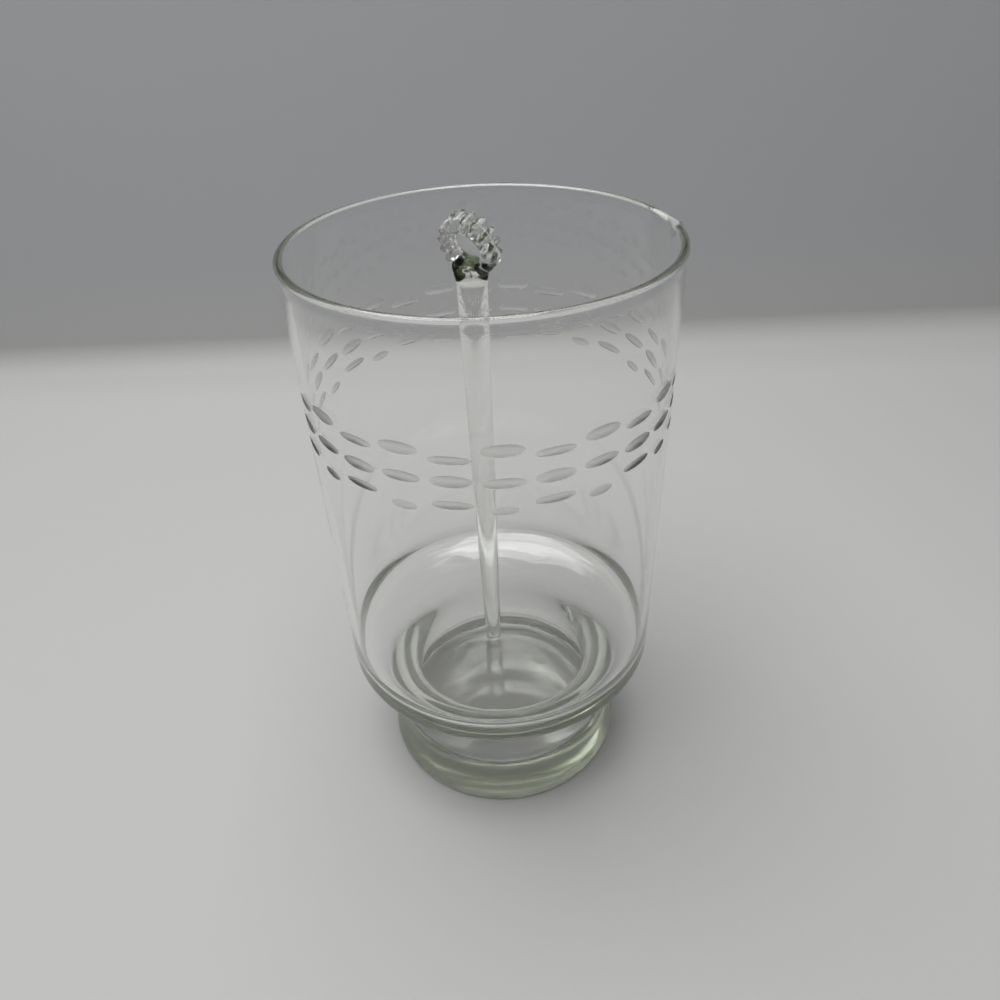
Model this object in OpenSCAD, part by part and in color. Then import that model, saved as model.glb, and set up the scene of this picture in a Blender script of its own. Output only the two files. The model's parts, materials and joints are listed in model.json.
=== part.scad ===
/* [Vessel] */
// Height of the vessel from the table to the top of its rim
vessel_h = 205; // [150:1:280]
// Outside diameter of the straight body
body_d = 115.4; // [108:0.1:150]
// Thickness of the blown wall
wall_t = 2.3; // [1.8:0.1:4]

/* [Rim] */
// Height of the fire-polished bead round the rim
bead_h = 3.4; // [2.8:0.1:6]
// Thickness of the bead
bead_t = 2.7; // [2:0.1:4]
// How far the bead stands out from the wall
bead_proud = 0.3; // [0.1:0.1:0.8]

/* [Pour lip] */
// How far the lip reaches out from the body
lip_reach = 4.4; // [2:0.1:8]
// Width of the lip along the rim
lip_w = 23; // [14:0.5:36]
// Height over which the wall leans out into the lip
lip_h = 9; // [6:0.5:18]
// Thickness of the glass at the lip
lip_t = 2.6; // [2:0.1:3.5]

/* [Shoulder] */
// Height of the shoulder, where the body turns in to the foot
shoulder_h = 51; // [46:1:80]
// Radius of the body's bottom corner, outside
corner_r = 3; // [1.5:0.1:4.5]
// Radius of the bend from the wall to the ledge, inside
bend_r = 10; // [8:0.5:14]
// Height of the bend's inner end above the shoulder
ledge_t = 3; // [2:0.1:8]

/* [Foot and well] */
// How far the waist above the foot stands in from the body
waist_in = 16.7; // [15:0.1:18.5]
// Radius of the hollow curve from the waist out to the shoulder
neck_r = 16; // [14:0.5:22]
// How far the foot stands out from the waist
foot_out = 5.7; // [4.5:0.1:8]
// Radius of the foot's bottom edge
foot_edge_r = 2; // [1:0.1:4]
// Thickness of the well's wall at the waist
foot_wall_t = 8; // [6:0.1:11]
// Radius of the curve from the well's waist out to the ledge
well_curve_r = 22; // [18:0.5:28]
// Thickness of the well's wall round its floor
floor_wall_t = 7.8; // [6:0.1:9]
// Thickness of the solid glass under the well
floor_t = 12.5; // [8:0.1:16]
// Radius round the floor of the well
well_fillet_r = 4; // [2.5:0.1:5]

/* [Cut dashes] */
// Number of pairs of dash columns round the body, one wide and one close
column_pairs = 13; // [7:1:13]
// Length of a dash
dash_l = 11.6; // [6:0.1:12]
// Length of the short dash at the foot of a wide column
short_dash_l = 7.8; // [5:0.1:11]
// Height of the large dashes
dash_h = 4; // [2.5:0.1:4.8]
// Height of the thin dashes
thin_dash_h = 2.9; // [1.5:0.1:3.8]
// Distance of the middle row below the rim
band_drop = 44.9; // [26:0.1:80]
// Distance from the middle row to the next in a wide column
wide_rise = 9.3; // [7:0.1:16]
// Distance from the middle row to the next in a close column
close_rise = 7.2; // [6:0.1:14]
// How far a dash may stray from its height
dash_stray = 0.35; // [0:0.05:0.5]

/* [Stirrer] */
// Diameter of the stirring rod
rod_d = 7; // [5:0.1:10]
// Length of rod that stands up past the rim
rod_over = 8; // [4:0.5:60]
// Diameter of the collar under the knob
collar_d = 8.2; // [7:0.1:11]
// Height of the collar
collar_h = 4; // [2:0.1:10]
// Diameter of the knob over its beads
knob_d = 14; // [12:0.1:24]
// Thickness of the knob at its beaded edge
knob_t = 5.6; // [4:0.1:8]
// Thickness of the knob at its middle
knob_web_t = 2.6; // [1.5:0.1:3.5]
// Number of beads round the knob
bead_count = 16; // [12:1:20]

/* [Where the stirrer rests] */
// Compass direction in which the stirrer leans
lean_turn = -101.4; // [-180:0.1:180]
// Distance of the stirrer to one side of the vessel's axis
lean_side = -3; // [-10:0.5:10]
// Distance of its tip from the edge of the well's floor
tip_inset = 6.6; // [4:0.1:20]
// Turn of the knob about the rod
knob_turn = -36; // [-90:1:90]
// Gap between the stirrer and the glass it rests on
rest_gap = 0.3; // [0.2:0.05:1]

/* [Hidden] */
$fn = 96;
clear_glass = [0.80, 0.84, 0.82, 0.45];
thick_glass = [0.60, 0.64, 0.60, 0.60];
stirrer_glass = [0.72, 0.76, 0.72, 0.75];

// Radii and heights that follow from the sizes above
body_r = body_d / 2;
inner_r = body_r - wall_t;
rim_r = body_r + bead_proud;
waist_r = body_r - waist_in;
foot_r = waist_r + foot_out;
well_r = waist_r - foot_wall_t;
ledge_z = shoulder_h + ledge_t;
// One overrun serves every cut
overrun = wall_t;

// Radius of an arc that leaves a waist upright and runs into a round edge farther out and lower down
function sweep_r(out, drop, edge_r) =
    (pow(out, 2) + pow(drop, 2) - pow(edge_r, 2)) / 2 / (out + edge_r);

// Outside, the neck's hollow curve runs into the round corner, which sets the height of the waist
corner_mid = [body_r - corner_r, shoulder_h + corner_r];
neck_turn = asin((waist_r + neck_r - corner_mid[0]) / (neck_r + corner_r));
waist_z = corner_mid[1] - (neck_r + corner_r) * cos(neck_turn);
neck_end = [waist_r + neck_r - neck_r * sin(neck_turn), waist_z + neck_r * cos(neck_turn)];
// From the waist another hollow curve runs down into the foot's round edge
edge_mid = [foot_r - foot_edge_r, foot_edge_r];
flare_r = sweep_r(edge_mid[0] - waist_r, waist_z - edge_mid[1], foot_edge_r);
flare_turn = asin((waist_z - edge_mid[1]) / (flare_r + foot_edge_r));
flare_end = [waist_r + flare_r - flare_r * cos(flare_turn), waist_z - flare_r * sin(flare_turn)];

// Inside, a curve runs from the bend down to the well's own waist
bend_mid_r = inner_r - bend_r;
ledge_turn = asin((well_r + well_curve_r - bend_mid_r) / (well_curve_r + bend_r));
bend_z = ledge_z + bend_r * cos(ledge_turn);
well_waist_z = ledge_z - well_curve_r * cos(ledge_turn);
ledge_end = [well_r + well_curve_r - well_curve_r * sin(ledge_turn), ledge_z];
// From there another runs down into the round edge of the floor
floor_r = foot_r - floor_wall_t - well_fillet_r;
fillet_z = floor_t + well_fillet_r;
sweep = sweep_r(floor_r - well_r, well_waist_z - fillet_z, well_fillet_r);
sweep_turn = asin((well_waist_z - fillet_z) / (sweep + well_fillet_r));
sweep_end = [well_r + sweep - sweep * cos(sweep_turn), well_waist_z - sweep * sin(sweep_turn)];

// The dashes: columns spread their three dashes wide and close in turn
column_turn = 180 / column_pairs;
// Where the first wide column stands, as a share of a pair's turn from the lip
first_column_share = 0.42;
mid_dash_h = (dash_h + thin_dash_h) / 2;
// Length and height of each dash, from the bottom row up
wide_dashes = [[short_dash_l, thin_dash_h], [dash_l, mid_dash_h], [dash_l, dash_h]];
close_dashes = [[dash_l, thin_dash_h], [dash_l, dash_h], [dash_l, thin_dash_h]];
// How widely the hand wanders from one dash to the next
stray_step = 137;

// The stirrer: its lean follows from the well's floor and the rim's bead
rod_r = rod_d / 2;
tip_r = floor_r - tip_inset;
tip_z = floor_t + rest_gap + rod_r;
bead_mid_r = rim_r - bead_t / 2;
bead_mid_z = vessel_h - bead_t / 2;
lean_run = sqrt(pow(bead_mid_r, 2) - pow(lean_side, 2)) + tip_r;
lean_rise = bead_mid_z - tip_z;
lean_clear = bead_t / 2 + rest_gap + rod_r;
lean_span = sqrt(pow(lean_run, 2) + pow(lean_rise, 2));
lean = atan2(lean_run, lean_rise) - asin(lean_clear / lean_span);
rod_l = sqrt(pow(lean_span, 2) - pow(lean_clear, 2)) + rod_over;
knob_r = knob_d / 2;
// Beads a little wider than their pitch run into each other
bead_swell_share = 1.1;
knob_bead_r = bead_swell_share * PI * knob_r / (bead_count + PI);
knob_core_r = knob_r - knob_bead_r;
knob_dish = (knob_t - knob_web_t) / 2;
knob_mouth_r = knob_core_r - knob_bead_r / 2;
knob_dish_r = (pow(knob_mouth_r, 2) + pow(knob_dish, 2)) / 2 / knob_dish;
// Rounding of the beads over the edge
knob_edge_r = knob_t * 2 / 5;
knob_seat = knob_r - sqrt(pow(knob_r, 2) - pow(collar_d / 2, 2));
knob_mid_z = rod_l + collar_h + knob_r - knob_seat;

// The pour lip is a leaning trough, whose width at the rim sets its radius
lip_lean = atan(lip_reach / lip_h);
wall_bow = body_r - sqrt(pow(body_r, 2) - pow(lip_w / 2, 2));
lip_r = (pow(lip_w / 2, 2) + pow(lip_reach + wall_bow, 2)) / 2 / (lip_reach + wall_bow);
lip_mid = body_r + lip_reach - lip_r;

// The leaning trough as a solid of radius r, cut square to its length at the rim
module lip_trough(r, top) {
    translate([body_r, 0, vessel_h]) rotate([0, lip_lean, 0])
        translate([lip_mid - body_r, 0, -2 * lip_h]) cylinder(h = 2 * lip_h + top, r = r);
}

// Half of the vessel's outside, cut through its axis
module outside() {
    // Foot with its round bottom edge
    square(edge_mid);
    translate(edge_mid) circle(foot_edge_r);
    // Hollow curve from the foot in to the waist
    difference() {
        polygon([[0, foot_edge_r], edge_mid, flare_end, [flare_end[0], waist_z], [0, waist_z]]);
        translate([waist_r + flare_r, waist_z]) circle(flare_r);
    }
    // Hollow curve from the waist out to the shoulder
    difference() {
        polygon([[0, waist_z], [neck_end[0], waist_z], neck_end, corner_mid, [0, corner_mid[1]]]);
        translate([waist_r + neck_r, waist_z]) circle(neck_r);
    }
    // Body with its round bottom corner
    translate(corner_mid) circle(corner_r);
    translate([0, corner_mid[1]]) square([body_r, vessel_h - bead_h / 2 - corner_mid[1]]);
    // Bead round the rim
    translate([0, vessel_h - bead_h + bead_t / 2]) square([rim_r, bead_h - bead_t]);
    translate([rim_r - bead_t / 2, vessel_h - bead_h + bead_t / 2]) circle(bead_t / 2);
    translate([0, vessel_h - bead_t]) square([rim_r - bead_t / 2, bead_t]);
    translate([rim_r - bead_t / 2, vessel_h - bead_t / 2]) circle(bead_t / 2);
}

// Half of the vessel's hollow, cut through its axis
module hollow() {
    // Floor of the well with its round edge
    translate([0, floor_t]) square([floor_r, well_fillet_r]);
    translate([floor_r, fillet_z]) circle(well_fillet_r);
    // Well, which narrows to its waist
    difference() {
        polygon([[0, fillet_z], [floor_r, fillet_z], sweep_end, [sweep_end[0], well_waist_z], [0, well_waist_z]]);
        translate([well_r + sweep, well_waist_z]) circle(sweep);
    }
    // Mouth of the well, which opens out to the ledge
    difference() {
        polygon([[0, well_waist_z], [ledge_end[0], well_waist_z], ledge_end, [bend_mid_r, bend_z], [0, bend_z]]);
        translate([well_r + well_curve_r, well_waist_z]) circle(well_curve_r);
    }
    // Body with the bend from its ledge to its wall
    translate([bend_mid_r, bend_z]) circle(bend_r);
    translate([0, bend_z]) square([inner_r, vessel_h - bead_h - bend_z]);
    // Mouth of the vessel, narrowed by the bead
    translate([0, vessel_h - bead_h]) difference() {
        square([max(inner_r, rim_r - bead_t / 2), bead_h + overrun]);
        translate([rim_r - bead_t / 2, bead_t / 2]) circle(bead_t / 2);
        translate([rim_r - bead_t, bead_t / 2]) square([bead_t, bead_h - bead_t]);
        translate([rim_r - bead_t / 2, bead_h - bead_t / 2]) circle(bead_t / 2);
    }
}

// A straight cut across the round wall, whose wheel is sized to leave an ellipse
module dash_cut(length, height) {
    depth = pow(length, 2) / 8 / body_r;
    wheel_r = pow(height, 2) / 8 / depth;
    translate([body_r - depth + wheel_r, 0, 0])
        rotate([90, 0, 0]) cylinder(h = length + 2 * overrun, r = wheel_r, center = true);
}

module dash_column(rise, dashes, start) {
    for (row = [0:len(dashes) - 1]) {
        stray = dash_stray * sin(stray_step * (start + row));
        translate([0, 0, vessel_h - band_drop + (row - 1) * rise + stray])
            dash_cut(dashes[row][0], dashes[row][1]);
    }
}

module dash_band() {
    for (pair = [0:column_pairs - 1]) {
        turn = 2 * column_turn * (pair + first_column_share);
        rotate([0, 0, turn]) dash_column(wide_rise, wide_dashes, pair);
        rotate([0, 0, turn + column_turn]) dash_column(close_rise, close_dashes, -pair);
    }
}

module bowl() {
    color(clear_glass) difference() {
        union() {
            rotate_extrude() intersection() {
                outside();
                translate([0, waist_z]) square([body_d, vessel_h]);
            }
            intersection() {
                lip_trough(lip_r, 0);
                cylinder(h = vessel_h, r = body_d);
            }
        }
        rotate_extrude() hollow();
        lip_trough(lip_r - lip_t, overrun);
        dash_band();
    }
}

module foot() {
    color(thick_glass) rotate_extrude() difference() {
        intersection() {
            outside();
            square([body_d, waist_z]);
        }
        hollow();
    }
}

// Puts a piece drawn upright on the stirrer's axis, its tip's centre at the origin, where it rests
module leaning() {
    rotate([0, 0, lean_turn]) translate([-tip_r, lean_side, tip_z]) rotate([0, lean, 0]) children();
}

module stirrer_rod() {
    color(stirrer_glass) leaning() {
        cylinder(h = rod_l, r = rod_r);
        sphere(rod_r);
    }
}

module stirrer_collar() {
    color(stirrer_glass) leaning() translate([0, 0, rod_l])
        cylinder(h = collar_h, d1 = rod_d, d2 = collar_d);
}

// Outline of the knob: a disc with a bead at each share of its turn
module knob_outline() {
    circle(knob_core_r);
    for (i = [0:bead_count - 1]) rotate(360 * (i + 1 / 2) / bead_count)
        translate([knob_core_r, 0]) circle(knob_bead_r);
}

// A coin-shaped knob on edge, its beads rounded over and both faces hollowed
module stirrer_knob() {
    color(stirrer_glass) leaning() intersection() {
        translate([0, 0, knob_mid_z]) rotate([0, 0, knob_turn]) rotate([0, 90, 0]) difference() {
            intersection() {
                linear_extrude(knob_t, center = true) knob_outline();
                rotate_extrude() {
                    translate([0, -knob_t / 2]) square([knob_r - knob_edge_r, knob_t]);
                    translate([0, knob_edge_r - knob_t / 2])
                        square([knob_r, knob_t - 2 * knob_edge_r]);
                    for (side = [-1, 1])
                        translate([knob_r - knob_edge_r, side * (knob_t / 2 - knob_edge_r)])
                            circle(knob_edge_r);
                }
            }
            for (side = [-1, 1]) translate([0, 0, side * (knob_t / 2 + knob_dish_r - knob_dish)])
                sphere(knob_dish_r);
        }
        translate([-knob_d, -knob_d, rod_l + collar_h]) cube(2 * knob_d);
    }
}

echo(lean = lean, rod_l = rod_l, tip_r = tip_r, tip_z = tip_z);

bowl();
foot();
stirrer_rod();
stirrer_collar();
stirrer_knob();
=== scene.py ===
# %% [markdown]
# # A cut-glass cocktail pitcher and its stirrer
# The object is made of two loose pieces of clear glass: a tall straight vessel on a heavy foot, and a
# solid glass stirrer that leans in it. The CAD frame holds their sizes and places. This lesson draws both
# again as smooth, seamless glass, because light has to pass through each of them as one body: two solids
# that only touch would show the joint between them as a mirror.

# %% Load the fixed frame
import json
import math

import bmesh
import bpy
from mathutils import Matrix, Vector, noise


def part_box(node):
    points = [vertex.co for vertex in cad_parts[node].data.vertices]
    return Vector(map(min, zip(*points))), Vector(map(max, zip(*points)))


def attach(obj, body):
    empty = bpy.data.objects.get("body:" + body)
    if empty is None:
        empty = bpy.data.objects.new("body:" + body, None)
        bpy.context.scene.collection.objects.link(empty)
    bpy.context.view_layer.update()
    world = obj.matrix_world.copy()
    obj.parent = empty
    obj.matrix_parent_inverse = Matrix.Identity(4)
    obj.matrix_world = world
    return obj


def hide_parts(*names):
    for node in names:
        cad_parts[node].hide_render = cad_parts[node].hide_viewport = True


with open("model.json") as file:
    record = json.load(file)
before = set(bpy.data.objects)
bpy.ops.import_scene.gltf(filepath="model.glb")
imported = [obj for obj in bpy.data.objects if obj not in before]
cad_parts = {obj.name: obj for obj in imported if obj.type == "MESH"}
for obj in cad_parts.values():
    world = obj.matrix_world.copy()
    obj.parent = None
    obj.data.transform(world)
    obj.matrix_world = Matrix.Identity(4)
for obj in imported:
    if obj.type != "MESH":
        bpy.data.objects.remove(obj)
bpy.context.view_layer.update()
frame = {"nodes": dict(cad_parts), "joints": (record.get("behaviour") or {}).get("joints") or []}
MM = 0.001
print("CAD nodes:", sorted(frame["nodes"]))

# %% [markdown]
# ## Sizes taken from the frame
# A node's box gives the big sizes: the rim's radius and height, the foot's radius, and the height of the
# waist, where the two nodes of the vessel meet. The pour lip points along +X, so the rim's own radius is
# read on the other side. Wall thicknesses and radii can't be read from a box, so they are named here in
# millimetres, as a glass worker would measure them.

# %% Read and name the sizes
bowl_low, bowl_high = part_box("bowl")
foot_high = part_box("foot")[1]
RIM_R = -bowl_low.x
RIM_Z = bowl_high.z
WAIST_Z = bowl_low.z
FOOT_R = foot_high.x
LIP_REACH = bowl_high.x + bowl_low.x
BEAD_PROUD = 0.3 * MM
BODY_R = RIM_R - BEAD_PROUD
BEAD_T = 2.7 * MM
BEAD_H = 3.4 * MM
WALL = 2.3 * MM
CORNER_R = 3 * MM
BEND_R = 10 * MM
LEDGE_T = 3 * MM
WAIST_R = BODY_R - 16.7 * MM
NECK_R = 16 * MM
FOOT_EDGE_R = 2 * MM
WELL_R = WAIST_R - 8 * MM
WELL_CURVE_R = 22 * MM
WELL_FLOOR_R = FOOT_R - 7.8 * MM
WELL_FILLET_R = 4 * MM
FLOOR_T = 12.5 * MM
print("rim radius, height, lip reach in mm:", [round(v / MM, 2) for v in (RIM_R, RIM_Z, LIP_REACH)])

# %% [markdown]
# ## The camera
# The photograph looks down at about 36 degrees, from close by, with the camera rolled a little. The lip
# points along +X, while the photographer stood a few degrees to its right, so the whole view is turned
# about the vertical axis. A camera looks along its own -Z, so it is tipped up from straight down first.

# %% Place the camera
CAMERA_PLACE = Vector((2.1, -219.1, 274.1)) * MM
CAMERA_PITCH = math.radians(36.49)
CAMERA_ROLL = math.radians(-2.5)
LIP_TURN = math.radians(12.5)
SENSOR = 36
FOCAL_PIXELS = 768.8
FRAME_PIXELS = 1000

camera_data = bpy.data.cameras.new("camera")
camera_data.sensor_width = SENSOR
camera_data.lens = SENSOR * FOCAL_PIXELS / FRAME_PIXELS
camera_data.clip_start = 10 * MM
camera = bpy.data.objects.new("camera", camera_data)
bpy.context.scene.collection.objects.link(camera)
around = Matrix.Rotation(-LIP_TURN, 4, "Z")
tip_up = Matrix.Rotation(math.pi / 2 - CAMERA_PITCH, 4, "X")
camera.matrix_world = (around @ Matrix.Translation(CAMERA_PLACE) @ tip_up
                       @ Matrix.Rotation(CAMERA_ROLL, 4, "Z"))
bpy.context.scene.camera = camera
print("lens in mm:", round(camera_data.lens, 2))

# %% [markdown]
# ## Helpers for meshes
# Every piece here starts as a bmesh. One helper turns a finished bmesh into an object at the origin, with
# smooth faces. Two more give the points of an arc and of a straight wall, so that a profile is a short
# list of arcs and walls, and the last one spins a profile into a solid.

# %% Mesh helpers
MERGE = 0.001 * MM


def finish_mesh(bm, name, materials):
    """Makes a smooth object of a bmesh, at the origin."""
    mesh = bpy.data.meshes.new(name)
    bm.to_mesh(mesh)
    bm.free()
    mesh.shade_smooth()
    for material in materials:
        mesh.materials.append(material)
    piece = bpy.data.objects.new(name, mesh)
    bpy.context.scene.collection.objects.link(piece)
    print(name, "faces:", len(mesh.polygons))
    return piece


def arc(r, z, radius, start, end, steps):
    """Points of an arc about (r, z), from start to end in degrees."""
    turns = [math.radians(start + (end - start) * i / steps) for i in range(steps + 1)]
    return [(r + radius * math.cos(t), z + radius * math.sin(t)) for t in turns]


def line(r, low, high, steps):
    """Points up or down a straight wall of radius r, without its ends."""
    return [(r, low + (high - low) * i / steps) for i in range(1, steps)]


def spin_solid(profile, steps):
    """A bmesh of the solid that a profile from axis to axis sweeps round Z."""
    bm = bmesh.new()
    verts = [bm.verts.new((r, 0, z)) for r, z in profile]
    edges = [bm.edges.new(pair) for pair in zip(verts, verts[1:])]
    bmesh.ops.spin(bm, geom=verts + edges, axis=(0, 0, 1), cent=(0, 0, 0),
                   angle=2 * math.pi, steps=steps, use_merge=True, use_duplicate=False)
    bmesh.ops.remove_doubles(bm, verts=bm.verts, dist=MERGE)
    bmesh.ops.recalc_face_normals(bm, faces=bm.faces)
    return bm


# %% [markdown]
# ## Materials
# One function turns a hex colour into the linear values that a shader needs. One small function adds a
# node with its settings, values and links, and every material is built from it.

# %% Colour and node helpers


def linear(hex_colour):
    """An sRGB hex colour as linear RGBA."""
    parts = [int(hex_colour[i:i + 2], 16) / 255 for i in (0, 2, 4)]
    return [c / 12.92 if c <= 0.04045 else ((c + 0.055) / 1.055) ** 2.4 for c in parts] + [1]


def add_node(tree, kind, settings=None, values=None, links=None):
    """Adds a node. links gives, for an input, the node and the output that feed it."""
    made = tree.nodes.new(kind)
    for name, value in (settings or {}).items():
        setattr(made, name, value)
    for name, value in (values or {}).items():
        made.inputs[name].default_value = value
    for name, (source, output) in (links or {}).items():
        tree.links.new(source.outputs[output], made.inputs[name])
    return made


def new_material(name):
    """An empty node material and its tree."""
    material = bpy.data.materials.new(name)
    material.use_nodes = True
    material.node_tree.nodes.clear()
    return material, material.node_tree


# %% [markdown]
# ## Clear soda-lime glass, fire-polished and wheel-ground
# Blown soda-lime glass has an IOR near 1.52 and a mirror-smooth skin, but the skin is never quite
# even: it swells and dips by a few hundredths of a millimetre over a centimetre or so, and that bends
# every reflection a little. Iron in the glass tints it grey-green, which shows only where light travels
# far through it, as in the foot, so the tint is a volume and not a surface colour. The dashes are cut by
# a wheel, which leaves a fine satin face that scatters light. Use wears glass in the same way, only less:
# the ring that the foot stands on, the floor that the stirrer scrapes, and the knob that is laid down.
# All of it is one body of glass with one material, and the number "ground" on each face says how satin
# it is. The grit of a wheel is finer than a picture can show, so its grain is drawn wider.

# %% Make the glass
GLASS_IOR = 1.52
SWELL_SIZE = 14 * MM
SWELL_DEPTH = 0.02 * MM
ROD_SWELL_DEPTH = 0.01 * MM
GLASS_TINT = linear("ecefe6")
TINT_DENSITY = 28
GRIT = 0.25 * MM
GRIT_DEPTH = 0.01 * MM
GROUND_ROUGHNESS = 0.5


def clear_glass(name, swell_depth):
    """Clear glass whose skin swells by swell_depth, and which is satin where it is ground."""
    material, tree = new_material(name)
    place = add_node(tree, "ShaderNodeTexCoord")
    ground = add_node(tree, "ShaderNodeAttribute", {"attribute_name": "ground"})
    swell = add_node(tree, "ShaderNodeTexNoise", None,
                     {"Scale": 1 / SWELL_SIZE, "Detail": 1.5, "Roughness": 0.4},
                     {"Vector": (place, "Object")})
    grain = add_node(tree, "ShaderNodeTexNoise", None, {"Scale": 1 / GRIT, "Detail": 2},
                     {"Vector": (place, "Object")})
    swelling = add_node(tree, "ShaderNodeBump", None, {"Strength": 1, "Distance": swell_depth},
                        {"Height": (swell, "Fac")})
    graining = add_node(tree, "ShaderNodeBump", None, {"Distance": GRIT_DEPTH},
                        {"Strength": (ground, "Fac"), "Height": (grain, "Fac"),
                         "Normal": (swelling, "Normal")})
    roughness = add_node(tree, "ShaderNodeMath", {"operation": "MULTIPLY"}, None,
                         {0: (ground, "Fac")})
    roughness.inputs[1].default_value = GROUND_ROUGHNESS
    glass = add_node(tree, "ShaderNodeBsdfPrincipled", None,
                     {"Base Color": (1, 1, 1, 1), "IOR": GLASS_IOR, "Transmission Weight": 1},
                     {"Roughness": (roughness, "Value"), "Normal": (graining, "Normal")})
    depth = add_node(tree, "ShaderNodeVolumeAbsorption", None,
                     {"Color": GLASS_TINT, "Density": TINT_DENSITY})
    add_node(tree, "ShaderNodeOutputMaterial", None, None,
             {"Surface": (glass, "BSDF"), "Volume": (depth, "Volume")})
    return material


blown_glass = clear_glass("blown_glass", SWELL_DEPTH)
drawn_glass = clear_glass("drawn_glass", ROD_SWELL_DEPTH)
print("materials:", blown_glass.name, drawn_glass.name)

# %% [markdown]
# ## The vessel's profile
# A blown vessel is round, so half of its section is enough. The profile runs up the outside from the
# middle of the base, over the bead at the rim, and down the inside to the middle of the well's floor.
# Outside and inside each narrow to a waist, and every arc runs into the next one without a corner. Two
# arcs meet smoothly where the line between their centres crosses them, which fixes all of the turns below.
# The flat underside gets a close set of points near its edge, where wear will need small faces.

# %% Draw the profile


def sweep_radius(out, drop, edge_r):
    """Radius of an arc that leaves a waist upright and runs into a round edge farther out and lower."""
    return (out ** 2 + drop ** 2 - edge_r ** 2) / 2 / (out + edge_r)


INNER_R = BODY_R - WALL
CORNER_MID_R = BODY_R - CORNER_R
neck_turn = math.asin((WAIST_R + NECK_R - CORNER_MID_R) / (NECK_R + CORNER_R))
CORNER_Z = WAIST_Z + (NECK_R + CORNER_R) * math.cos(neck_turn)
EDGE_MID_R = FOOT_R - FOOT_EDGE_R
FLARE_R = sweep_radius(EDGE_MID_R - WAIST_R, WAIST_Z - FOOT_EDGE_R, FOOT_EDGE_R)
flare_turn = math.asin((WAIST_Z - FOOT_EDGE_R) / (FLARE_R + FOOT_EDGE_R))

LEDGE_Z = CORNER_Z - CORNER_R + LEDGE_T
BEND_MID_R = INNER_R - BEND_R
ledge_turn = math.asin((WELL_R + WELL_CURVE_R - BEND_MID_R) / (WELL_CURVE_R + BEND_R))
BEND_Z = LEDGE_Z + BEND_R * math.cos(ledge_turn)
WELL_WAIST_Z = LEDGE_Z - WELL_CURVE_R * math.cos(ledge_turn)
FLOOR_R = WELL_FLOOR_R - WELL_FILLET_R
FILLET_Z = FLOOR_T + WELL_FILLET_R
SWEEP_R = sweep_radius(FLOOR_R - WELL_R, WELL_WAIST_Z - FILLET_Z, WELL_FILLET_R)
sweep_turn = math.asin((WELL_WAIST_Z - FILLET_Z) / (SWEEP_R + WELL_FILLET_R))
print("heights of the waist, the well's waist and the corner in mm:",
      [round(v / MM, 1) for v in (WAIST_Z, WELL_WAIST_Z, CORNER_Z)])
BEAD_MID_R = RIM_R - BEAD_T / 2
BEAD_TOP_Z = RIM_Z - BEAD_T / 2
SWELL_SHARE = 1.4
SWELL_H = SWELL_SHARE * BEAD_H
ARC_STEPS = 10
BEAD_STEPS = 12
WALL_STEPS = 20
LIP_STEPS = 5
LIP_ZONE = 10 * MM
SMOOTH_R = 38 * MM
WEAR_RINGS = 24


def bead_side(wall_r, bead_r):
    """Points where a wall of radius wall_r swells into the bead, from below."""
    points = []
    for i in range(ARC_STEPS + 1):
        rise = i / ARC_STEPS
        ease = rise * rise * (3 - 2 * rise)
        height = RIM_Z - SWELL_H + rise * (SWELL_H - BEAD_T / 2)
        points.append((wall_r + (bead_r - wall_r) * ease, height))
    return points


bead_low = RIM_Z - SWELL_H
lip_low = RIM_Z - LIP_ZONE
outside = (
    [(0, 0)]
    + [(SMOOTH_R + (EDGE_MID_R - SMOOTH_R) * i / WEAR_RINGS, 0) for i in range(WEAR_RINGS)]
    + arc(EDGE_MID_R, FOOT_EDGE_R, FOOT_EDGE_R, -90, -math.degrees(flare_turn), ARC_STEPS)
    + arc(WAIST_R + FLARE_R, WAIST_Z, FLARE_R, 180 + math.degrees(flare_turn), 180, 2 * ARC_STEPS)
    + arc(WAIST_R + NECK_R, WAIST_Z, NECK_R, 180, 90 + math.degrees(neck_turn), 2 * ARC_STEPS)
    + arc(CORNER_MID_R, CORNER_Z, CORNER_R, math.degrees(neck_turn) - 90, 0, ARC_STEPS)
    + line(BODY_R, CORNER_Z, lip_low, WALL_STEPS)
    + line(BODY_R, lip_low, bead_low, LIP_STEPS)
    + bead_side(BODY_R, RIM_R)
)
inside = (
    bead_side(INNER_R, RIM_R - BEAD_T)[::-1]
    + line(INNER_R, bead_low, lip_low, LIP_STEPS)
    + line(INNER_R, lip_low, BEND_Z, WALL_STEPS)
    + arc(BEND_MID_R, BEND_Z, BEND_R, 0, math.degrees(ledge_turn) - 90, 2 * ARC_STEPS)
    + arc(WELL_R + WELL_CURVE_R, WELL_WAIST_Z, WELL_CURVE_R, 90 + math.degrees(ledge_turn), 180,
          2 * ARC_STEPS)
    + arc(WELL_R + SWEEP_R, WELL_WAIST_Z, SWEEP_R, 180, 180 + math.degrees(sweep_turn), ARC_STEPS)
    + arc(FLOOR_R, FILLET_Z, WELL_FILLET_R, math.degrees(sweep_turn), -90, ARC_STEPS)
    + [(0, FLOOR_T)]
)
over_top = arc(BEAD_MID_R, BEAD_TOP_Z, BEAD_T / 2, 0, 180, BEAD_STEPS)[1:-1]
vessel_profile = outside + over_top + inside
print("profile points:", len(vessel_profile))

# %% [markdown]
# ## The pour lip and the wear
# The lip was pulled with a tool while the rim was soft: the wall leans out over the last centimetre, and
# the rim dips where it is pulled furthest. Spinning the profile gives a plain rim, and then each vertex
# near +X is moved by a smooth rule, so inside and outside move together and the wall keeps its thickness.
# The ring that the foot stands on is worn satin, up to a ragged edge that shows through the foot as a
# jagged line. The well's floor is worn a little, so that what lies under it looks soft.

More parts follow.
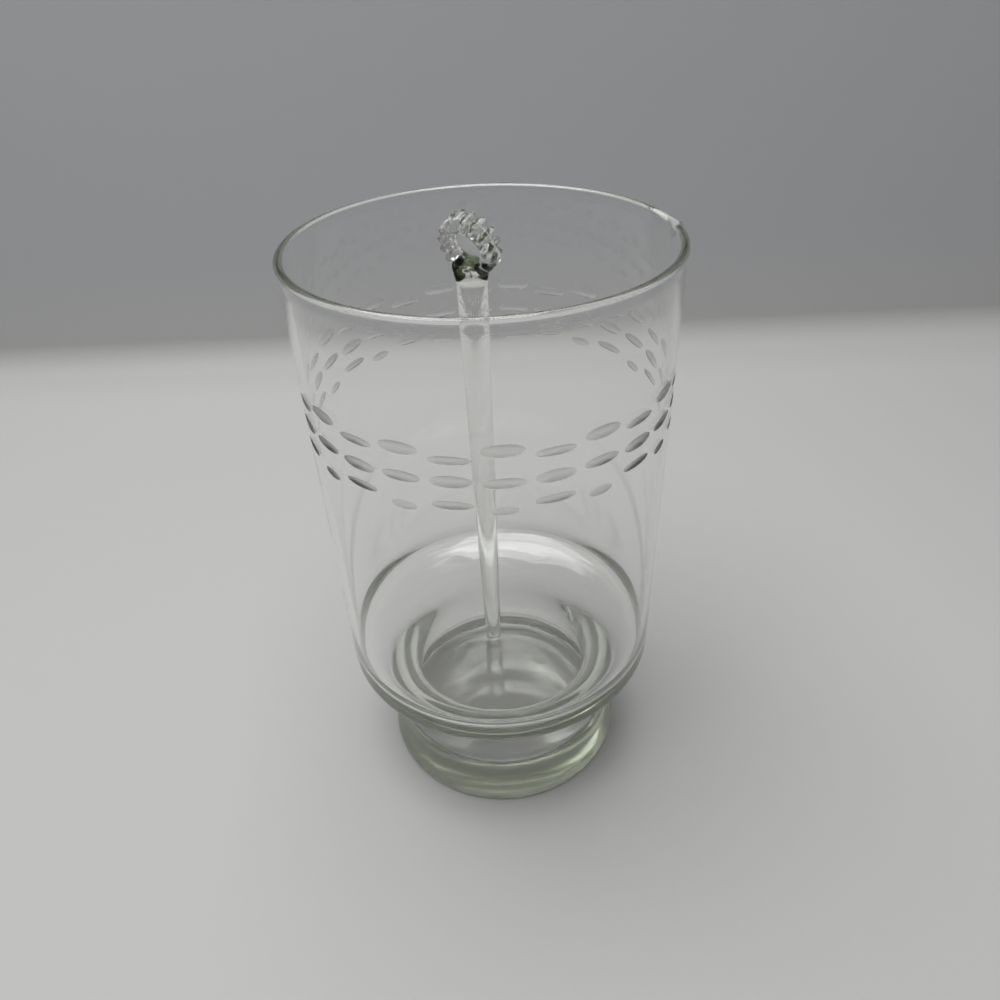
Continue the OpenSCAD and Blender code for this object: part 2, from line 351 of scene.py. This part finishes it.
# %% Spin the vessel and pull its lip
VESSEL_STEPS = 336
LIP_W = 23 * MM
LIP_H = 9 * MM
LIP_DIP = 2.2 * MM
UNDERSIDE_WEAR = 0.5
FLOOR_WEAR = 0.2
WEAR_R = 41.5 * MM
WEAR_RAGGED = 2.5 * MM
WEAR_PATCH = 4 * MM
lip_half = LIP_W / 2 / BODY_R


def mark_ground(bm, share):
    """Gives each face a number that says how far it is ground, from fire-polished (0) to satin (1)."""
    ground = bm.faces.layers.float.new("ground")
    for face in bm.faces:
        face[ground] = share(face)


def vessel_wear(face):
    """How satin a face of the vessel is: only the ring it stands on and the well's floor are worn."""
    heights = [v.co.z for v in face.verts]
    place = face.calc_center_median()
    if max(heights) < MERGE:
        edge = WEAR_R + WEAR_RAGGED * noise.noise(place / WEAR_PATCH)
        return UNDERSIDE_WEAR if place.length > edge else 0
    on_floor = max(heights) < FLOOR_T + MERGE and place.xy.length < FLOOR_R
    return FLOOR_WEAR if on_floor else 0


def pull_lip(bm):
    """Moves the vertices near +X outwards and down into a pour lip."""
    for v in bm.verts:
        turn = math.atan2(v.co.y, v.co.x)
        rise = (v.co.z - RIM_Z + LIP_H) / LIP_H
        if abs(turn) >= lip_half or rise <= 0:
            continue
        pull = math.cos(math.pi / 2 * turn / lip_half) ** 2 * rise ** 2
        r = math.hypot(v.co.x, v.co.y)
        v.co.x *= (r + LIP_REACH * pull) / r
        v.co.y *= (r + LIP_REACH * pull) / r
        v.co.z -= LIP_DIP * pull


bm = spin_solid(vessel_profile, VESSEL_STEPS)
pull_lip(bm)
mark_ground(bm, vessel_wear)
vessel = finish_mesh(bm, "glass_vessel", [blown_glass])

# %% [markdown]
# ## The cut dashes
# A cutter presses the wall against the edge of a small wheel, and each touch leaves an ellipse. The
# columns of three dashes spread wide and close in turn. The wheel's cut is drawn as a short cylinder
# that lies along the wall and bends away from it, and all of the cutters are taken out of the glass in
# one boolean. The cutters' faces are marked as ground, and the cut faces take that mark over.

# %% Lay out the dashes
COLUMN_PAIRS = 13
COLUMN_TURN = math.pi / COLUMN_PAIRS
FIRST_COLUMN = 0.42
DASH_L = 11.6 * MM
SHORT_DASH_L = 7.8 * MM
DASH_H = 4 * MM
THIN_DASH_H = 2.9 * MM
MID_DASH_H = (DASH_H + THIN_DASH_H) / 2
BAND_Z = RIM_Z - 44.9 * MM
WIDE_RISE = 9.3 * MM
CLOSE_RISE = 7.2 * MM
DASH_STRAY = 0.35 * MM
STRAY_STEP = math.radians(137)
WHEEL_R = 60 * MM
RING_SIDES = 64
CUTTER_SPARE = 1.3
CUTTER_STEPS = 12
WIDE_COLUMN = [(SHORT_DASH_L, THIN_DASH_H), (DASH_L, MID_DASH_H), (DASH_L, DASH_H)]
CLOSE_COLUMN = [(DASH_L, THIN_DASH_H), (DASH_L, DASH_H), (DASH_L, THIN_DASH_H)]


def make_cutter(length, height):
    """Part of a wheel's rounded edge that cuts an ellipse of that size into the wall near +X."""
    depth = length ** 2 / 8 * (1 / BODY_R + 1 / WHEEL_R)
    edge_r = height ** 2 / 8 / depth
    sweep = CUTTER_SPARE * length / WHEEL_R
    hub = Matrix.Translation((BODY_R - depth + WHEEL_R, 0, 0))
    start = hub @ Matrix.Rotation(-sweep / 2, 4, "Z") @ Matrix.Translation((edge_r - WHEEL_R, 0, 0))
    bm = bmesh.new()
    ring = bmesh.ops.create_circle(bm, segments=RING_SIDES, radius=edge_r,
                                   matrix=start @ Matrix.Rotation(math.pi / 2, 4, "X"))
    bmesh.ops.spin(bm, geom=ring["verts"] + bm.edges[:], axis=(0, 0, 1), cent=hub.translation,
                   angle=sweep, steps=CUTTER_STEPS)
    bmesh.ops.holes_fill(bm, edges=bm.edges, sides=RING_SIDES)
    bmesh.ops.recalc_face_normals(bm, faces=bm.faces)
    mark_ground(bm, lambda face: 1)
    mesh = bpy.data.meshes.new("cutter")
    bm.to_mesh(mesh)
    bm.free()
    return mesh


shapes = {shape: make_cutter(*shape) for shape in WIDE_COLUMN + CLOSE_COLUMN}
cutters_bm = bmesh.new()


def add_column(turn, rise, dashes, start):
    """One column of cutters, from the bottom row up."""
    for row, shape in enumerate(dashes):
        z = BAND_Z + (row - 1) * rise + DASH_STRAY * math.sin(STRAY_STEP * (start + row))
        known = len(cutters_bm.verts)
        cutters_bm.from_mesh(shapes[shape])
        bmesh.ops.transform(cutters_bm, verts=cutters_bm.verts[known:],
                            matrix=Matrix.Rotation(turn, 4, "Z") @ Matrix.Translation((0, 0, z)))


for pair in range(COLUMN_PAIRS):
    turn = 2 * COLUMN_TURN * (pair + FIRST_COLUMN)
    add_column(turn, WIDE_RISE, WIDE_COLUMN, pair)
    add_column(turn + COLUMN_TURN, CLOSE_RISE, CLOSE_COLUMN, -pair)
cutters = finish_mesh(cutters_bm, "cutters", [])

# %% Cut them out of the wall


def apply_boolean(piece, other, operation):
    """Applies a boolean of another object to a piece, and removes the other."""
    cut = piece.modifiers.new("cut", "BOOLEAN")
    cut.solver = "MANIFOLD"
    cut.operation = operation
    cut.object = other
    evaluated = piece.evaluated_get(bpy.context.evaluated_depsgraph_get())
    mesh = bpy.data.meshes.new_from_object(evaluated)
    piece.modifiers.clear()
    piece.data = mesh
    bpy.data.objects.remove(other)
    print(piece.name, operation, "faces:", len(mesh.polygons))


def sharpen_cut_edges(piece):
    """Marks the edges round the cuts, which are more satin than any wear, as sharp."""
    bm = bmesh.new()
    bm.from_mesh(piece.data)
    ground = bm.faces.layers.float["ground"]
    cut_faces = sum(face[ground] > UNDERSIDE_WEAR for face in bm.faces)
    for edge in bm.edges:
        edge.smooth = len({face[ground] > UNDERSIDE_WEAR for face in edge.link_faces}) < 2
    bm.to_mesh(piece.data)
    bm.free()
    print(piece.name, "cut faces:", cut_faces)


apply_boolean(vessel, cutters, "DIFFERENCE")
sharpen_cut_edges(vessel)
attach(vessel, "vessel")
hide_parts("bowl", "foot")

# %% [markdown]
# ## The stirrer
# A drawn glass rod with a rounded tip carries a short flared collar, and a coin-shaped knob stands on it
# on edge. It is made upright at the origin, as the maker would hold it, and tipped into place at the end.
# The frame's slide joint gives the line in which it leans. The rod ends square to that line, so half of
# its tipped width comes off the top of its box before its length is known.

# %% Work out where the stirrer rests
rod_low, rod_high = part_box("stirrer_rod")
ROD_R = 3.5 * MM
COLLAR_R = 4.1 * MM
COLLAR_H = 4 * MM
lean_axis = Vector(frame["joints"][0]["axis"]).normalized()
tip = Vector((rod_high.x - ROD_R, rod_high.y - ROD_R, rod_low.z + ROD_R))
lean = math.acos(lean_axis.z)
turn = math.atan2(lean_axis.y, lean_axis.x)
stirrer_place = (Matrix.Translation(tip) @ Matrix.Rotation(turn, 4, "Z")
                 @ Matrix.Rotation(lean, 4, "Y"))
top_face = ROD_R * math.sin(lean)
ROD_L = (rod_high.z - top_face - tip.z) / lean_axis.z
print("lean in degrees, rod length in mm:", round(math.degrees(lean), 2), round(ROD_L / MM, 1))

# %% Spin the rod and its collar
ROD_SIDES = 96
TIP_STEPS = 16
ROD_STEPS = 40
rod_profile = (
    arc(0, 0, ROD_R, -90, 0, TIP_STEPS)
    + line(ROD_R, 0, ROD_L, ROD_STEPS)
    + [(ROD_R, ROD_L), (COLLAR_R, ROD_L + COLLAR_H), (0, ROD_L + COLLAR_H)]
)
bm = spin_solid(rod_profile, ROD_SIDES)
stirrer = finish_mesh(bm, "glass_stirrer", [drawn_glass])

# %% [markdown]
# ## The beaded knob
# The knob is pressed glass: a coin with a thin flat middle and a thick roll round its edge, pressed into
# beads. A plain coin is spun first. Its roll is then drawn in between the beads, both towards the middle
# and towards the coin's plane, by a rule on the turn. Each bead is round, and meets the next in a crease.

# %% Press the knob
KNOB_R = 7 * MM
KNOB_T = 5.6 * MM
WEB_T = 2.6 * MM
BEADS = 16
STEPS_PER_BEAD = 16
BEAD_DEPTH = 0.5 * MM
BEAD_RISE = 0.45
EDGE_R = 1.4 * MM
ROLL_START = 0.62
ROLL_FULL = 0.85
ROLL_CROWN = 0.25
ROLL_STEPS = 4
WEB_RINGS = (0, 0.25, 0.45)
WEB_SWELL = 0.1 * MM
KNOB_WEAR = 0.3
KNOB_TURN = math.radians(-36)
web = WEB_T / 2
edge_z = KNOB_T / 2 - EDGE_R
edge_mid_r = KNOB_R - EDGE_R
knob_side = (
    [(share * KNOB_R, -web) for share in WEB_RINGS]
    + [(ROLL_START * KNOB_R, -web - WEB_SWELL)]
    + arc(edge_mid_r - ROLL_CROWN * edge_z, -edge_z, EDGE_R, -120, -90, ROLL_STEPS)
    + arc(edge_mid_r, -edge_z, EDGE_R, -80, 0, 2 * ROLL_STEPS)
)
knob_profile = knob_side + [(r, -z) for r, z in knob_side[::-1]]
bm = spin_solid(knob_profile, STEPS_PER_BEAD * BEADS)
for v in bm.verts:
    r = math.hypot(v.co.x, v.co.y)
    bead_turn = BEADS * (math.atan2(v.co.y, v.co.x) / (2 * math.pi) + 0.5)
    between = 1 - abs(math.cos(math.pi * bead_turn))
    ease = min(max((r / KNOB_R - ROLL_START) / (ROLL_FULL - ROLL_START), 0), 1)
    if r > 0:
        v.co.x *= 1 - BEAD_DEPTH / KNOB_R * between * ease
        v.co.y *= 1 - BEAD_DEPTH / KNOB_R * between * ease
        v.co.z *= 1 - BEAD_RISE * between * ease
mark_ground(bm, lambda face: KNOB_WEAR)
knob = finish_mesh(bm, "knob", [drawn_glass])
knob_seat = KNOB_R - math.sqrt(KNOB_R ** 2 - COLLAR_R ** 2)
knob_mid = ROD_L + COLLAR_H + KNOB_R - knob_seat
knob.data.transform(Matrix.Translation((0, 0, knob_mid)) @ Matrix.Rotation(KNOB_TURN, 4, "Z")
                    @ Matrix.Rotation(math.pi / 2, 4, "Y"))
apply_boolean(stirrer, knob, "UNION")
stirrer.data.transform(stirrer_place)
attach(stirrer, "stirrer")
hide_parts("stirrer_rod", "stirrer_collar", "stirrer_knob")

# %% [markdown]
# ## The paper sweep
# Clear glass shows what stands round it. In the photograph a pale sheet lies under the glass and turns up
# behind it. Lit from above, the flat part is bright and the upright part is darker, and the small curve
# between them gives the change of tone behind the rim. The upright part's colour is also a painted shade,
# a little darker than the flat part's. The sheet is low, because a tall one would send light into the
# glass from behind, where the photograph's glass is dark. It is a stage piece.

# %% Lay the sweep
SWEEP_FRONT = 2.2
SWEEP_WIDTH = 5.0
COVE_START = 333 * MM
COVE_R = 22 * MM
COVE_STEPS = 24
SWEEP_TOP = 0.32
GRADE_LOW = 0.005
GRADE_HIGH = 0.1
PAPER_ROUGHNESS = 0.7
GAP = 0.3 * MM
MIX_COLOUR_A = 6
MIX_COLOUR_B = 7
MIX_COLOUR_OUT = 2


def paper_with_painted_shade(name, low_colour, painted_shade_colour):
    """Matt paper that runs from its own colour, where it lies flat, to a darker colour of painted shade,
    where it stands.
    """
    material, tree = new_material(name)
    place = add_node(tree, "ShaderNodeTexCoord")
    parts = add_node(tree, "ShaderNodeSeparateXYZ", None, None, {"Vector": (place, "Object")})
    height = add_node(tree, "ShaderNodeMapRange", {"interpolation_type": "SMOOTHSTEP"},
                      {"From Min": GRADE_LOW, "From Max": GRADE_HIGH}, {"Value": (parts, "Z")})
    tone = add_node(tree, "ShaderNodeMix", {"data_type": "RGBA"}, None, {"Factor": (height, "Result")})
    tone.inputs[MIX_COLOUR_A].default_value = linear(low_colour)
    tone.inputs[MIX_COLOUR_B].default_value = linear(painted_shade_colour)
    paper = add_node(tree, "ShaderNodeBsdfPrincipled", None, {"Roughness": PAPER_ROUGHNESS})
    tree.links.new(tone.outputs[MIX_COLOUR_OUT], paper.inputs["Base Color"])
    add_node(tree, "ShaderNodeOutputMaterial", None, None, {"Surface": (paper, "BSDF")})
    return material


# The upright part's colour is painted shade: it is darker than the flat paper's own colour.
paper = paper_with_painted_shade("paper", "bcbcbb", "b5b6b9")
cove = arc(COVE_START, COVE_R, COVE_R, -90, 0, COVE_STEPS)
sweep_line = [(-SWEEP_FRONT, 0)] + cove + [(COVE_START + COVE_R, SWEEP_TOP)]
bm = bmesh.new()
verts = [bm.verts.new((-SWEEP_WIDTH / 2, y, z - GAP)) for y, z in sweep_line]
edges = [bm.edges.new(pair) for pair in zip(verts, verts[1:])]
across = bmesh.ops.extrude_edge_only(bm, edges=edges)
moved = [item for item in across["geom"] if isinstance(item, bmesh.types.BMVert)]
bmesh.ops.translate(bm, verts=moved, vec=(SWEEP_WIDTH, 0, 0))
bmesh.ops.transform(bm, verts=bm.verts, matrix=around)
sweep_sheet = finish_mesh(bm, "paper_sweep", [paper])

# %% [markdown]
# ## Light
# A soft lamp hangs over the table and gives the rim and the far side of the bend their highlights. It is
# strong enough for the paper's grey to render as it is written. The rest of the room is dim, because
# clear glass is drawn by the dark things that it mirrors and bends into its edges.

# %% Hang the lamp and dim the room
LAMP_SIZE = 1.1
LAMP_POWER = 17.5
LAMP_PLACE = around @ Vector((-0.2, -0.02, 1.3))
LAMP_TARGET = Vector((0, 0, 0.1))
ROOM_LOW = 0.13
ROOM_HIGH = 0.18
RAMP_START = 0.1
RAMP_END = 0.62

lamp_data = bpy.data.lights.new("overhead", "AREA")
lamp_data.shape = "SQUARE"
lamp_data.size = LAMP_SIZE
lamp_data.energy = LAMP_POWER
lamp = bpy.data.objects.new("overhead", lamp_data)
bpy.context.scene.collection.objects.link(lamp)
lamp.location = LAMP_PLACE
lamp.rotation_euler = (LAMP_PLACE - LAMP_TARGET).to_track_quat("Z", "Y").to_euler()

world = bpy.data.worlds.new("room")
bpy.context.scene.world = world
world.use_nodes = True
tree = world.node_tree
direction = add_node(tree, "ShaderNodeTexCoord")
parts = add_node(tree, "ShaderNodeSeparateXYZ", None, None, {"Vector": (direction, "Generated")})
ramp = add_node(tree, "ShaderNodeValToRGB", None, None, {"Fac": (parts, "Z")})
ramp_low, ramp_high = ramp.color_ramp.elements
ramp_low.position = RAMP_START
ramp_low.color = (ROOM_LOW, ROOM_LOW, ROOM_LOW, 1)
ramp_high.position = RAMP_END
ramp_high.color = (ROOM_HIGH, ROOM_HIGH, ROOM_HIGH, 1)
tree.links.new(ramp.outputs["Color"], tree.nodes["Background"].inputs["Color"])

# %% [markdown]
# ## How far light is followed
# Light that enters a thick foot or a rolled rim is mirrored on to and fro inside the glass, ten times or
# more, and light that runs along the stirrer far oftener. The renderer's usual limit is four mirrorings,
# after which a path ends black, and thick glass then looks like soot. More turns are allowed here, so that
# it stays clear.

# %% Allow light more turns
LIGHT_TURNS = 48
paths = bpy.context.scene.cycles
paths.max_bounces = LIGHT_TURNS
paths.glossy_bounces = LIGHT_TURNS
paths.transmission_bounces = LIGHT_TURNS

# %% [markdown]
# ## Plain colours
# The Standard view shows each colour as it was written, without a film's curve.

# %% Show colours plainly
bpy.context.scene.view_settings.view_transform = "Standard"
